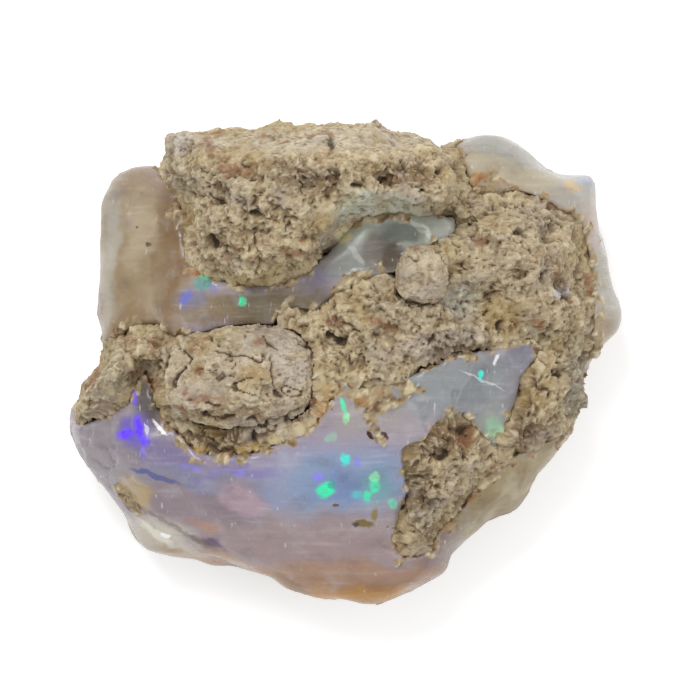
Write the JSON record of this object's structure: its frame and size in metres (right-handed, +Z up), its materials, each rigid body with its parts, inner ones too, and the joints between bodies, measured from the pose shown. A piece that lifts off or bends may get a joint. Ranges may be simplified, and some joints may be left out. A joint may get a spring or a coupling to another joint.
{
  "type": "rough opal specimen",
  "caption": "Rough precious opal in tan host rock: a rounded translucent mass with a raised rock block, rock crusts and rounded rock fragments set in it.",
  "frame": {"origin": "middle of the flat fracture face the stone rests on, under the centre of its plan", "axes": "+Z up out of the show face with the rock and the play of colour, +X along the stone's longest side, +Y towards the raised rock block"},
  "size_m": [0.0322, 0.028, 0.0162],
  "materials": {
    "precious_opal": "gloss",
    "host_rock": "matte",
    "pale_clast": "matte"
  },
  "bodies": {
    "root": {"opal_body": "precious_opal", "host_rock": "host_rock", "round_clast": "pale_clast", "small_clast": "pale_clast"}
  },
  "joints": []
}
